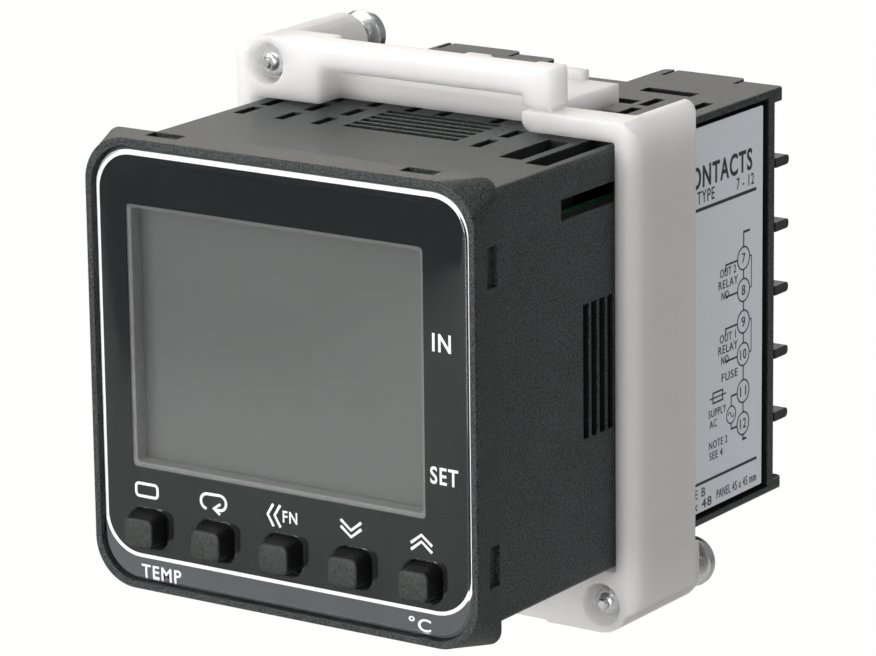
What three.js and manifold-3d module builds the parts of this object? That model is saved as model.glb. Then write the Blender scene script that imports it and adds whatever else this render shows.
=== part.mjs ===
// Panel-mount temperature controller, 48 x 48 mm front, with its clamp-on mounting adapter.
// Millimetres. The origin lies on the case axis in the plane where the bezel seats on the panel.
// +Z is up, the display faces -Y and +Y runs back to the screw terminals.

import * as THREE from 'three';
import { mergeVertices } from 'three/addons/utils/BufferGeometryUtils.js';
import { ConvexGeometry } from 'three/addons/geometries/ConvexGeometry.js';
import Module from 'manifold-3d';

const wasm = await Module();
wasm.setup();

// ---------------------------------------------------------------- driving dimensions

const GAP = 0.15; // air between neighbouring solids
const RUNNING_GAP = 0.3; // air around a piece that moves
const CORNER_STEPS = 5; // facets on a rounded corner
const ROUND_STEPS = 16; // facets on a small round hole or pin
const PAST = 1; // how far a cutter reaches past the face it opens

const BEZEL = { half: 24, depth: 4.06, rearRadius: 1.8, frontRadius: 5, edge: 0.22 };
const LENS_POCKET = { half: 23.36, radius: 4.75, floor: -2.85 };
const BEZEL_WALL_BACK = -1.5;
const BEZEL_HOLLOW = 22.55;
const GRIP_NOTCH = { front: -1.95, back: -0.25, depth: 0.45, across: [13.7, 17.6], upright: [13.2, 17.4] };

const LENS = { half: 23.2, radius: 4.6, front: -3.8, back: -3.0 };
const WINDOW = { left: -19.25, right: 17.3, bottom: -10.87, top: 16.97, radius: 0.5 };
const WINDOW_FRAME_WALL = 0.8;
const WINDOW_LIP = 0.5; // how far the frame shows inside the window opening
const LCD = { front: -1.1, back: 0.8, border: 0.75 };
const BACKLIGHT = { front: 1.0, back: 4.2 };

const KEY_NAMES = ['level_key', 'mode_key', 'shift_key', 'down_key', 'up_key'];
const KEY_PITCH = 8.56;
const KEY_CENTRE = { x: 0.05, z: -17.25 };
const KEY_HOLE = { width: 4.5, height: 4.1, radius: 1.2 };
const KEY_CAP = { width: 3.7, height: 3.15, radius: 0.9, front: -5.9, drop: 0.1 };
const KEY_FLANGE = { width: 5.8, height: 5.2, front: -1.2, back: -0.3 };
const KEY_STEM = { size: 2, back: 1.4 };

const CASE = {
  half: 22.4, wall: 1.5, radius: 0.5, front: -1.3, sideBack: 56.4, ledgeBack: 58.5, tongueBack: 60,
};
const CASE_INNER = CASE.half - CASE.wall;
const REAR_CHANNEL = { left: -6.6, right: 6.5, front: 52 };
const TONGUES = [{ start: -22.4, slit: -21.1, right: -12.1 }, { start: 6.5, slit: 8.2, right: 16.8 }];
const TONGUE_CORNER = 0.8;
const TONGUE_SLIT = { width: 0.5, front: 57 };
const LATCH_WINDOW = { inset: 1.9, width: 6.4, front: 48.7, back: 50.6 };

const COMB = { half: 7.1, front: 17.9, pitch: 1.55, groove: 1.15, count: 6, depth: 1.2 };
const VENT = { width: 1.25, length: 3.7 };
const VENTS_TOP = [
  [-20.1, 19.2], [-14.8, 19.1], [-10.1, 19], [10.2, 18.5],
  [-20, 23.9], [-14.6, 24.1], [-9.9, 24.1], [10.3, 23.7],
  [-14.8, 29.2], [-10.1, 29.1], [-5.2, 29], [-1.2, 28.9], [5.6, 28.8],
  [-14.6, 39.2], [14.6, 39.2], [14.4, 44.3], [-14.6, 44.3], [-19.8, 45.2], [19.8, 45.2],
];
const CROSS_VENTS = [[-11.6, 43.4], [11.6, 43.4]];
const CROSS_VENT = { width: 2.8, length: 2 };
const TOOL_PORT = { left: 14.85, right: 17.6, front: 14, back: 23.5 };
const DEEP_SLOT = { left: 18.7, right: 21.3, front: 12.9, back: 26 };
const SIDE_SLOT = { front: 13.9, back: 26, bottom: 16.65, top: 18.85 };

const LABEL_RECESS = { front: 28.5, back: 55.2, bottom: -21.5, top: 21.7, depth: 0.3 };
const LABEL = { front: 29.6, back: 54.1, bottom: -20.85, top: 21.15, thickness: 0.12 };
const LABEL_MOAT_DEPTH = 0.9;

const TERMINAL = { x: 14.6, pitch: 6.95, centre: 0.35, rows: 6 };
const BLOCK = { half: 20.75, front: 46.4, slabBack: 49.4, seat: 51.6, innerWall: 6.6, wall: 0.7, back: 56.6 };
const FIN = { pitch: 7.07, drop: 0.2, thickness: 1.05, tip: 59.5, outer: 22.4, outerFront: 56.7 };
const CONTACT = { width: 7.6, height: 4.2, thickness: 1, hole: 1.75 };
const SCREW_WASHER = { size: 4.2, thickness: 0.8 };
const SCREW_HEAD = { radius: 2.1, height: 1.9 };
const SCREW_SHANK = { radius: 1.35, length: 5.2 };

const DISPLAY_BOARD = { half: 20.3, front: 5.0, back: 6.4 };
const TACT = { size: 4.2, front: 3.2, buttonRadius: 1, buttonFront: 2.55 };
const SIDE_BOARD = { outer: 20.2, thickness: 1.4, front: 7.4, back: 45.6, half: 16.2 };

// Board components: how far each stands off its board, then its span along y and z.
const TRANSFORMER = { height: 12.5, front: 10, back: 25, bottom: -15.5, top: -1.5, windingReach: 1.1 };
const WINDING = { height: 12.6, root: 11, front: 14.5, back: 20.5 };
const RELAY = { height: 10.2, front: 28.5, back: 44, width: 7.4, bottoms: [3, -8] };
const CAPACITOR = { radius: 5, standOff: 0.2, z: 6.9, front: 9, back: 25 };
const CHIP = { height: 1.6, front: 18, back: 28, half: 5 };
const BOARD_CONNECTOR = { height: 4.6, front: 8, back: 12.5, half: 12 };
const TOOL_SOCKET = { left: 12.4, right: 18.2, front: 14.6, back: 22.9, bottom: 12.5, top: 18.6 };

const ADAPTER = { half: 25.2, opening: 22.7, roof: 22.85, front: 23.4, back: 37.2 };
const POST = { frontRadius: 1.5, backRadius: 2.5, endRadius: 3, bottom: -28 };
const TAB = { left: 11.45, front: 23.5, back: 27.6, top: 25.05, radius: 1.3 };
const BAR = { front: 23.5, back: 27, bottom: 26.4, top: 29.6, radius: 0.9 };
const HEEL = { left: 11.5, right: 15.3, bottom: 25.5, radius: 0.6, footLeft: 12.3, footRight: 14.7 };
const BOSS = { right: -13.9, front: 23.5, blockBack: 27.9, tubeBack: 38.4, top: 29.6, radius: 1.6 };
const BOSS_LEG_END = 19.5;
const SHOULDER = { upper: 28.6, lower: 27.4 };
const SPRING_PLATE = { left: -17, right: 13.1, front: 27.4, back: 39.9, top: 25.1 };
const PLATE_LIP = { left: -6.45, right: 8.8, front: 39.5, back: 40.9, top: 26 };
const PLATE_LIP_STEP = { right: -3.5, top: 26.3 };
const CLAMP_AXIS = { x: -20.9, z: 26.55 };
const CLAMP_HOLE = { radius: 1.85, mouthRadius: 2.3, mouthBack: 26.2 };
const CLAMP_SCREW = { radius: 1.5, tip: 23.6, headFront: 41, rimBack: 42.2, headBack: 43.2, headRadius: 2.8 };

// ---------------------------------------------------------------- materials

const paint = (color, roughness, metalness = 0, extra = {}) =>
  new THREE.MeshStandardMaterial({ color, roughness, metalness, ...extra });

const MATERIALS = {
  charcoalPlastic: paint(0x2b2e2f, 0.55),
  smokeLens: paint(0x1d2021, 0.08, 0, { transparent: true, opacity: 0.8 }),
  windowGrey: paint(0x8d9090, 0.5),
  lcdGrey: paint(0x6c6e6f, 0.2),
  lightGuide: paint(0xe9ece8, 0.3),
  keyRubber: paint(0x242728, 0.7),
  circuitBoard: paint(0x1f5a36, 0.45),
  switchBody: paint(0x33363a, 0.5),
  chipBlack: paint(0x17181a, 0.5),
  relayBlue: paint(0x1f4e9c, 0.4),
  coilYellow: paint(0xd8b23a, 0.5),
  canBlack: paint(0x22242a, 0.3),
  terminalBlack: paint(0x1c1e1f, 0.5),
  platedBrass: paint(0xc9c2a8, 0.3, 1),
  zincSteel: paint(0xc4c6c6, 0.28, 1),
  labelGrey: paint(0xa3a9b4, 0.6),
  milkPlastic: paint(0xe8e5e2, 0.45),
};

// ---------------------------------------------------------------- shape helpers

const X = new THREE.Vector3(1, 0, 0);
const Y = new THREE.Vector3(0, 1, 0);
const Z = new THREE.Vector3(0, 0, 1);

// A closed geometry as a solid that can be joined and cut.
function solid(geometry) {
  const bare = geometry.clone();
  bare.deleteAttribute('normal');
  bare.deleteAttribute('uv');
  const merged = mergeVertices(bare, 1e-4);
  const vertProperties = new Float32Array(merged.attributes.position.array);
  const triVerts = new Uint32Array(merged.index.array);
  return new wasm.Manifold(new wasm.Mesh({ numProp: 3, vertProperties, triVerts }));
}

function join(solids) {
  return solids.reduce((whole, piece) => whole.add(piece));
}

function cut(whole, cutters) {
  return cutters.reduce((rest, cutter) => rest.subtract(cutter), whole);
}

function block(x0, x1, y0, y1, z0, z1) {
  const box = new THREE.BoxGeometry(x1 - x0, y1 - y0, z1 - z0);
  box.translate((x0 + x1) / 2, (y0 + y1) / 2, (z0 + z1) / 2);
  return solid(box);
}

// Corner radii run from the lower left corner counter-clockwise.
function roundedRectangle(u0, u1, v0, v1, radii) {
  const [a, b, c, d] = Array.isArray(radii) ? radii : [radii, radii, radii, radii];
  const shape = new THREE.Shape();
  shape.moveTo(u0 + a, v0);
  shape.lineTo(u1 - b, v0);
  if (b) shape.absarc(u1 - b, v0 + b, b, -Math.PI / 2, 0);
  shape.lineTo(u1, v1 - c);
  if (c) shape.absarc(u1 - c, v1 - c, c, 0, Math.PI / 2);
  shape.lineTo(u0 + d, v1);
  if (d) shape.absarc(u0 + d, v1 - d, d, Math.PI / 2, Math.PI);
  shape.lineTo(u0, v0 + a);
  if (a) shape.absarc(u0 + a, v0 + a, a, Math.PI, 1.5 * Math.PI);
  return shape;
}

// Extrudes a shape along x (drawn in y and z), along y (drawn in x and z) or along z (drawn in x and y).
function prism(shape, axis, from, to, steps = CORNER_STEPS) {
  const options = { depth: to - from, bevelEnabled: false, curveSegments: steps };
  const geometry = new THREE.ExtrudeGeometry(shape, options);
  const turn = new THREE.Matrix4();
  if (axis === 'x') turn.makeBasis(Y, Z, X).setPosition(from, 0, 0);
  if (axis === 'y') turn.makeBasis(X, Z, Y.clone().negate()).setPosition(0, to, 0);
  if (axis === 'z') turn.setPosition(0, 0, from);
  return solid(geometry.applyMatrix4(turn));
}

function rod(x, z, radius, y0, y1, steps = ROUND_STEPS) {
  const cylinder = new THREE.CylinderGeometry(radius, radius, y1 - y0, steps);
  cylinder.translate(x, (y0 + y1) / 2, z);
  return solid(cylinder);
}

// Points of a rounded rectangle in the plane y, for a hull.
function outline(x, z, halfWidth, halfHeight, radius, y) {
  const points = [];
  for (const [sx, sz, start] of [[1, 1, 0], [-1, 1, 90], [-1, -1, 180], [1, -1, 270]]) {
    for (let i = 0; i <= CORNER_STEPS; i++) {
      const angle = THREE.MathUtils.degToRad(start + (90 * i) / CORNER_STEPS);
      const px = x + sx * (halfWidth - radius) + radius * Math.cos(angle);
      const pz = z + sz * (halfHeight - radius) + radius * Math.sin(angle);
      points.push(new THREE.Vector3(px, y, pz));
    }
  }
  return points;
}

function hull(...outlines) {
  return solid(new ConvexGeometry(outlines.flat()));
}

// The same solid turned half a turn about the case axis.
function halfTurn(piece) {
  return piece.rotate([0, 180, 0]);
}

function addMesh(group, name, shape, material) {
  const found = shape.getMesh();
  const geometry = new THREE.BufferGeometry();
  geometry.setAttribute('position', new THREE.BufferAttribute(found.vertProperties, 3));
  geometry.setIndex(new THREE.BufferAttribute(found.triVerts, 1));
  geometry.computeVertexNormals();
  const mesh = new THREE.Mesh(geometry, material);
  mesh.name = name;
  group.add(mesh);
}

// ---------------------------------------------------------------- front

const keyX = (index) => KEY_CENTRE.x + (index - 2) * KEY_PITCH;

function keyHoles(clearance, y0, y1) {
  const width = KEY_HOLE.width / 2 + clearance;
  const height = KEY_HOLE.height / 2 + clearance;
  return KEY_NAMES.map((name, i) => {
    const x = keyX(i);
    const z = KEY_CENTRE.z;
    const shape = roundedRectangle(x - width, x + width, z - height, z + height, KEY_HOLE.radius);
    return prism(shape, 'y', y0, y1, 3);
  });
}

// The window opening grown by a margin on every side.
function windowPrism(margin, y0, y1) {
  const shape = roundedRectangle(
    WINDOW.left - margin, WINDOW.right + margin, WINDOW.bottom - margin, WINDOW.top + margin, WINDOW.radius);
  return prism(shape, 'y', y0, y1, 2);
}

// Two shallow finger notches in each of the bezel's four sides.
function gripNotches() {
  const { front, back, depth, across, upright } = GRIP_NOTCH;
  const inner = BEZEL.half - depth;
  const outer = BEZEL.half + PAST;
  return [1, -1].flatMap((side) => [1, -1].flatMap((end) => {
    const span = ([from, to], sign) => (sign > 0 ? [from, to] : [-to, -from]);
    const skin = span([inner, outer], side);
    return [
      block(...span(across, end), front, back, ...skin),
      block(...skin, front, back, ...span(upright, end)),
    ];
  }));
}

function bezel() {
  const { half, depth, rearRadius, frontRadius, edge } = BEZEL;
  const body = hull(
    outline(0, 0, half, half, rearRadius, 0),
    outline(0, 0, half - edge / 4, half - edge / 4, frontRadius, edge - depth),
    outline(0, 0, half - edge, half - edge, frontRadius - edge / 2, -depth));
  const pocket = LENS_POCKET.half;
  const pocketShape = roundedRectangle(-pocket, pocket, -pocket, pocket, LENS_POCKET.radius);
  const hollow = roundedRectangle(-BEZEL_HOLLOW, BEZEL_HOLLOW, -BEZEL_HOLLOW, BEZEL_HOLLOW, 1);
  return cut(body, [
    prism(pocketShape, 'y', -depth - PAST, LENS_POCKET.floor),
    prism(hollow, 'y', BEZEL_WALL_BACK, PAST, 2),
    windowPrism(WINDOW_FRAME_WALL + GAP, -depth, PAST),
    ...keyHoles(0, -depth, PAST),
    ...gripNotches(),
  ]);
}

function frontLens() {
  const { half, radius, front, back } = LENS;
  const plate = prism(roundedRectangle(-half, half, -half, half, radius), 'y', front, back);
  return cut(plate, keyHoles(0, front - PAST, back + PAST));
}

function windowFrame() {
  const front = LENS.back + GAP;
  const back = LCD.front - GAP;
  const opening = windowPrism(-WINDOW_LIP, front - PAST, back + PAST);
  return windowPrism(WINDOW_FRAME_WALL, front, back).subtract(opening);
}

function lcdPanel() {
  return windowPrism(LCD.border, LCD.front, LCD.back);
}

function backlight() {
  return windowPrism(LCD.border, BACKLIGHT.front, BACKLIGHT.back);
}

// A key cap with its retaining flange behind the bezel wall and its stem to the switch.
function key(index) {
  const x = keyX(index);
  const z = KEY_CENTRE.z;
  const shoulder = { width: KEY_HOLE.width / 2 - RUNNING_GAP, height: KEY_HOLE.height / 2 - RUNNING_GAP };
  const capWidth = KEY_CAP.width / 2;
  const capHeight = KEY_CAP.height / 2;
  const cap = hull(
    outline(x, z - KEY_CAP.drop, capWidth - 0.3, capHeight - 0.3, KEY_CAP.radius - 0.2, KEY_CAP.front),
    outline(x, z - KEY_CAP.drop, capWidth, capHeight, KEY_CAP.radius, KEY_CAP.front + 0.3),
    outline(x, z, shoulder.width, shoulder.height, KEY_CAP.radius, LENS.front));
  const root = hull(
    outline(x, z, shoulder.width, shoulder.height, KEY_CAP.radius, LENS.front),
    outline(x, z, shoulder.width, shoulder.height, KEY_CAP.radius, KEY_FLANGE.front));
  const { width, height, front, back } = KEY_FLANGE;
  const flange = block(x - width / 2, x + width / 2, front, back, z - height / 2, z + height / 2);
  const stem = KEY_STEM.size / 2;
  return join([cap, root, flange, block(x - stem, x + stem, back, KEY_STEM.back, z - stem, z + stem)]);
}

// ---------------------------------------------------------------- case

// Runs of grooves across the top and bottom, and up the two sides, that the adapter's claws catch.
function combGrooves() {
  const inner = CASE.half - COMB.depth;
  const outer = CASE.half + PAST;
  const grooves = [];
  for (let i = 0; i < COMB.count; i++) {
    const y0 = COMB.front + i * COMB.pitch;
    const y1 = y0 + COMB.groove;
    for (const [a, b] of [[inner, outer], [-outer, -inner]]) {
      grooves.push(block(-COMB.half, COMB.half, y0, y1, a, b));
      grooves.push(block(a, b, y0, y1, -COMB.half, COMB.half));
    }
  }
  return grooves;
}

function throughTopAndBottom(x0, x1, y0, y1) {
  const inner = CASE_INNER - PAST;
  const outer = CASE.half + PAST;
  return [block(x0, x1, y0, y1, inner, outer), block(x0, x1, y0, y1, -outer, -inner)];
}

function ventSlots() {
  const slots = [
    ...VENTS_TOP.map(([x, y]) => [x, y, VENT.width, VENT.length]),
    ...CROSS_VENTS.map(([x, y]) => [x, y, CROSS_VENT.width, CROSS_VENT.length]),
  ];
  return slots.flatMap(([x, y, width, length]) =>
    throughTopAndBottom(x - width / 2, x + width / 2, y - length / 2, y + length / 2));
}

// What a round corner leaves off a square one at x, on the piece's side -1 or 1.
function offCorner(x, side, back) {
  const [from, to] = side > 0 ? [x - TONGUE_CORNER, x + PAST] : [x - PAST, x + TONGUE_CORNER];
  const outer = CASE.half + PAST;
  const radii = side > 0 ? [0, 0, TONGUE_CORNER, 0] : [0, 0, 0, TONGUE_CORNER];
  const near = side > 0 ? [x - 2, x] : [x, x + 2];
  const kept = prism(roundedRectangle(...near, back - 3, back, radii), 'z', -outer - PAST, outer + PAST, 4);
  return block(from, to, back - TONGUE_CORNER, back + PAST, -outer, outer).subtract(kept);
}

// The rear edge: side walls stop short, the top and bottom walls carry ledges and snap tongues.
function rearEdgeCuts() {
  const beyond = CASE.tongueBack + PAST;
  const outer = CASE.half + PAST;
  const cuts = [
    block(-outer, outer, CASE.sideBack, beyond, -CASE_INNER - 0.1, CASE_INNER + 0.1),
    block(REAR_CHANNEL.left, REAR_CHANNEL.right, REAR_CHANNEL.front, beyond, -outer, outer),
  ];
  const ends = [...TONGUES.slice(1).map(({ start }) => start), outer];
  TONGUES.forEach(({ start, slit, right }, i) => {
    cuts.push(block(right, ends[i], CASE.ledgeBack, beyond, -outer, outer));
    for (const x of [slit - TONGUE_SLIT.width, right]) {
      cuts.push(block(x, x + TONGUE_SLIT.width, TONGUE_SLIT.front, beyond, -outer, outer));
    }
    cuts.push(offCorner(start, -1, CASE.tongueBack), offCorner(right, 1, CASE.tongueBack));
    const { inset, width, front, back } = LATCH_WINDOW;
    cuts.push(...throughTopAndBottom(slit + inset, slit + inset + width, front, back));
  });
  cuts.push(offCorner(REAR_CHANNEL.left, 1, CASE.ledgeBack), offCorner(CASE.half, 1, CASE.ledgeBack));
  return cuts;
}

function labelCuts() {
  const { front, back, bottom, top, depth } = LABEL_RECESS;
  const outer = CASE.half + PAST;
  const recess = block(CASE.half - depth, outer, front, back, bottom, top);
  const moat = block(CASE.half - LABEL_MOAT_DEPTH, outer, front, back, bottom, top);
  const pad = block(0, outer, LABEL.front, LABEL.back, LABEL.bottom, LABEL.top);
  return [recess, moat.subtract(pad)];
}

function caseShell() {
  const { half, radius, front, tongueBack } = CASE;
  const outside = prism(roundedRectangle(-half, half, -half, half, radius), 'y', front, tongueBack, 2);
  const inside = block(-CASE_INNER, CASE_INNER, front - PAST, tongueBack + PAST, -CASE_INNER, CASE_INNER);
  const wallTop = half + PAST;
  return cut(outside, [
    inside,
    ...rearEdgeCuts(),
    ...combGrooves(),
    ...ventSlots(),
    ...labelCuts(),
    block(TOOL_PORT.left, TOOL_PORT.right, TOOL_PORT.front, TOOL_PORT.back, CASE_INNER - PAST, wallTop),
    block(DEEP_SLOT.left, DEEP_SLOT.right, DEEP_SLOT.front, DEEP_SLOT.back, CASE_INNER - PAST, wallTop),
    block(CASE_INNER - PAST, wallTop, SIDE_SLOT.front, SIDE_SLOT.back, SIDE_SLOT.bottom, SIDE_SLOT.top),
  ]);
}

function sideLabel() {
  const back = CASE.half - LABEL_RECESS.depth + 0.08;
  return block(back, back + LABEL.thickness, LABEL.front, LABEL.back, LABEL.bottom, LABEL.top);
}

// ---------------------------------------------------------------- terminals

const terminalZ = (row) => TERMINAL.centre + ((TERMINAL.rows - 1) / 2 - row) * TERMINAL.pitch;

// Terminals 1 to 6 run down the left column and 7 to 12 down the right one, seen from the front.
const TERMINALS = [-1, 1].flatMap((side) =>
  Array.from({ length: TERMINAL.rows }, (unused, row) => ({ x: side * TERMINAL.x, z: terminalZ(row) })));

// A barrier between two terminals, with a round tip that reaches out over the case side.
function barrier(side, z) {
  const half = FIN.thickness / 2;
  const radii = [0, half * 0.9, half * 0.9, 0];
  const blade = roundedRectangle(BLOCK.seat - 0.5, FIN.tip, z - half, z + half, radii);
  const wing = roundedRectangle(FIN.outerFront, FIN.tip, z - half, z + half, radii);
  const [bladeFrom, bladeTo] = side > 0 ? [BLOCK.innerWall, BLOCK.half] : [-BLOCK.half, -BLOCK.innerWall];
  const [wingFrom, wingTo] = side > 0 ? [BLOCK.half - 0.5, FIN.outer] : [-FIN.outer, 0.5 - BLOCK.half];
  return prism(blade, 'x', bladeFrom, bladeTo, 3).add(prism(wing, 'x', wingFrom, wingTo, 3));
}

function terminalColumn(side) {
  const { half, slabBack, seat, innerWall, wall, back } = BLOCK;
  const span = (near, far) => (side > 0 ? [near, far] : [-far, -near]);
  const pieces = [
    block(...span(innerWall, half), slabBack - 0.5, seat, -half, half),
    block(...span(innerWall, innerWall + wall), slabBack, back, -half, half),
    block(...span(innerWall, half), slabBack, back, half - wall, half),
    block(...span(innerWall, half), slabBack, back, -half, wall - half),
  ];
  for (let fin = 0; fin < TERMINAL.rows - 1; fin++) {
    pieces.push(barrier(side, TERMINAL.centre - FIN.drop + ((TERMINAL.rows - 2) / 2 - fin) * FIN.pitch));
  }
  return join(pieces);
}

function terminalBlock() {
  const { half, front, slabBack } = BLOCK;
  const slab = block(-half, half, front, slabBack, -half, half);
  const whole = join([slab, terminalColumn(1), terminalColumn(-1)]);
  const bores = TERMINALS.map(({ x, z }) => rod(x, z, CONTACT.hole, front - PAST, BLOCK.seat + PAST, 12));
  return cut(whole, bores);
}

function contactPlate({ x, z }) {
  const front = BLOCK.seat + GAP;
  const { width, height, thickness, hole } = CONTACT;
  const plate = block(x - width / 2, x + width / 2, front, front + thickness, z - height / 2, z + height / 2);
  return plate.subtract(rod(x, z, hole, front - PAST, front + thickness + PAST, 12));
}

// A terminal screw with its captive square clamp washer.
function terminalScrew({ x, z }) {
  const seat = BLOCK.seat + GAP + CONTACT.thickness + GAP;
  const half = SCREW_WASHER.size / 2;
  const headFront = seat + SCREW_WASHER.thickness;
  return join([
    rod(x, z, SCREW_SHANK.radius, seat - SCREW_SHANK.length, seat + 0.4, 10),
    block(x - half, x + half, seat, headFront, z - half, z + half),
    rod(x, z, SCREW_HEAD.radius, headFront - 0.3, headFront + SCREW_HEAD.height, 14),
  ]);
}

// ---------------------------------------------------------------- boards and components

function displayBoard() {
  const { half, front, back } = DISPLAY_BOARD;
  return block(-half, half, front, back, -half, half);
}

function tactSwitch(index) {
  const x = keyX(index);
  const z = KEY_CENTRE.z;
  const half = TACT.size / 2;
  const back = DISPLAY_BOARD.front - GAP;
  const body = block(x - half, x + half, TACT.front, back, z - half, z + half);
  return body.add(rod(x, z, TACT.buttonRadius, TACT.buttonFront, TACT.front + 0.3, 12));
}

function sideBoard(side) {
  const { outer, thickness, front, back, half } = SIDE_BOARD;
  const [x0, x1] = side > 0 ? [outer - thickness, outer] : [-outer, thickness - outer];
  return block(x0, x1, front, back, -half, half);
}

// Parts on the power board, on the +X side, stand inwards from its inner face.
const powerFace = SIDE_BOARD.outer - SIDE_BOARD.thickness - GAP;
const controlFace = -powerFace;

function transformer() {
  const { height, front, back, bottom, top, windingReach } = TRANSFORMER;
  const core = block(powerFace - height, powerFace, front, back, bottom, top);
  const winding = block(powerFace - WINDING.height, powerFace - WINDING.root, WINDING.front, WINDING.back,
    bottom - windingReach, top + windingReach);
  return core.add(winding);
}

function relay(bottom) {
  return block(powerFace - RELAY.height, powerFace, RELAY.front, RELAY.back, bottom, bottom + RELAY.width);
}

function capacitor() {
  const { radius, standOff, z, front, back } = CAPACITOR;
  return rod(powerFace - standOff - radius, z, radius, front, back, 20);
}

function microcontroller() {
  return block(controlFace, controlFace + CHIP.height, CHIP.front, CHIP.back, -CHIP.half, CHIP.half);
}

function boardConnector() {
  const { height, front, back, half } = BOARD_CONNECTOR;
  return block(controlFace, controlFace + height, front, back, -half, half);
}

// The socket for a setting tool's plug, under the port in the case's top wall.
function toolPortSocket() {
  const { left, right, front, back, bottom, top } = TOOL_SOCKET;
  return block(left, right, front, back, bottom, top);
}

// ---------------------------------------------------------------- mounting adapter

// One side of the adapter ring: a post beside the case with rounded outer edges and ends.
function adapterPost() {
  const { half, opening, front, back } = ADAPTER;
  const { frontRadius, backRadius, endRadius, bottom } = POST;
  const plan = roundedRectangle(opening, half, front, back, [0, frontRadius, backRadius, 0]);
  const elevation = roundedRectangle(0, half, bottom, TAB.top, [0, endRadius, endRadius - 0.6, 0]);
  return prism(plan, 'z', bottom, TAB.top).intersect(prism(elevation, 'y', front - PAST, back + PAST));
}

// The block around a clamp screw's mouth, the tube behind it and the leg that meets the post.
function adapterBoss(shoulder) {
  const { right, front, blockBack, tubeBack, top, radius } = BOSS;
  const left = -ADAPTER.half;
  const face = block(CLAMP_AXIS.x, right, front, blockBack, ADAPTER.roof, top);
  const side = roundedRectangle(left, CLAMP_AXIS.x + 0.1, ADAPTER.roof, shoulder, [0, 0, 0, radius]);
  const plan = roundedRectangle(left, right, front, blockBack, [1.2, 0.6, 0, 0]);
  const leg = roundedRectangle(left, -ADAPTER.opening, front, blockBack, [1.2, 0, 0, 0]);
  const tubeRadius = top - CLAMP_AXIS.z;
  const tubeLeft = CLAMP_AXIS.x - tubeRadius;
  const tubeRight = CLAMP_AXIS.x + tubeRadius;
  return join([
    face.add(prism(side, 'y', front, blockBack)).intersect(prism(plan, 'z', ADAPTER.roof, top, 4)),
    prism(leg, 'z', BOSS_LEG_END, ADAPTER.roof + 0.1, 4),
    rod(CLAMP_AXIS.x, CLAMP_AXIS.z, tubeRadius, front, tubeBack, 20),
    block(tubeLeft, tubeRight, front + 1, tubeBack, ADAPTER.roof, CLAMP_AXIS.z),
    block(left + 0.3, tubeRight, front + 1, ADAPTER.back - 1, ADAPTER.roof, TAB.top - 0.4),
  ]);
}

// The stiff bar that bridges the case and steps down through its heel onto the tab.
function adapterBar() {
  const { front, back, bottom, top, radius } = BAR;
  const section = roundedRectangle(front, back, bottom, top, radius);
  const face = roundedRectangle(HEEL.left, HEEL.right, HEEL.bottom, top, [0.4, HEEL.radius, HEEL.radius, 0]);
  const plan = roundedRectangle(HEEL.left, HEEL.right, front, back, [0.3, 1.3, 0.9, 0]);
  return join([
    prism(section, 'x', BOSS.right - 1, HEEL.left + 1, 3),
    prism(face, 'y', front, back, 4).intersect(prism(plan, 'z', HEEL.bottom, top, 3)),
    block(HEEL.footLeft, HEEL.footRight, front + 0.8, back - 0.4, TAB.top - 0.2, HEEL.bottom + 0.5),
  ]);
}

function adapterTab() {
  const { left, front, back, top, radius } = TAB;
  const face = roundedRectangle(left, ADAPTER.opening + 1, ADAPTER.roof, top, [radius, 0, 0, 0.4]);
  return prism(face, 'y', front, back, 4);
}

// The springy plate that carries the ratchet claws, free at its right-hand end.
function adapterSpringPlate() {
  const { left, right, front, back, top } = SPRING_PLATE;
  const lip = PLATE_LIP;
  return join([
    block(left, right, front, back, ADAPTER.roof, top),
    block(lip.left, lip.right, lip.front, lip.back, ADAPTER.roof, lip.top),
    block(lip.left, PLATE_LIP_STEP.right, lip.front, lip.back, top - 0.5, PLATE_LIP_STEP.top),
  ]);
}

// The ring is two nearly equal halves, one turned half a turn about the case axis.
function adapter() {
  const half = (shoulder) =>
    join([adapterPost(), adapterBoss(shoulder), adapterBar(), adapterTab(), adapterSpringPlate()]);
  const ring = half(SHOULDER.upper).add(halfTurn(half(SHOULDER.lower)));
  const { x, z } = CLAMP_AXIS;
  const bore = rod(x, z, CLAMP_HOLE.radius, BOSS.front - PAST, BOSS.tubeBack + PAST);
  const mouth = rod(x, z, CLAMP_HOLE.mouthRadius, BOSS.front - PAST, CLAMP_HOLE.mouthBack);
  return cut(ring, [bore, mouth, halfTurn(bore), halfTurn(mouth)]);
}

function clampScrew() {
  const { x, z } = CLAMP_AXIS;
  const { radius, tip, headFront, rimBack, headBack, headRadius } = CLAMP_SCREW;
  const profile = [
    [0, tip], [radius - 0.4, tip], [radius, tip + 0.5], [radius, headFront], [headRadius, headFront],
    [headRadius, rimBack], [headRadius * 0.8, headBack - 0.3], [headRadius * 0.45, headBack], [0, headBack],
  ].map(([r, y]) => new THREE.Vector2(r, y));
  const turned = new THREE.LatheGeometry(profile, ROUND_STEPS);
  return solid(turned.translate(x, 0, z));
}

// ---------------------------------------------------------------- assembly

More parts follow.
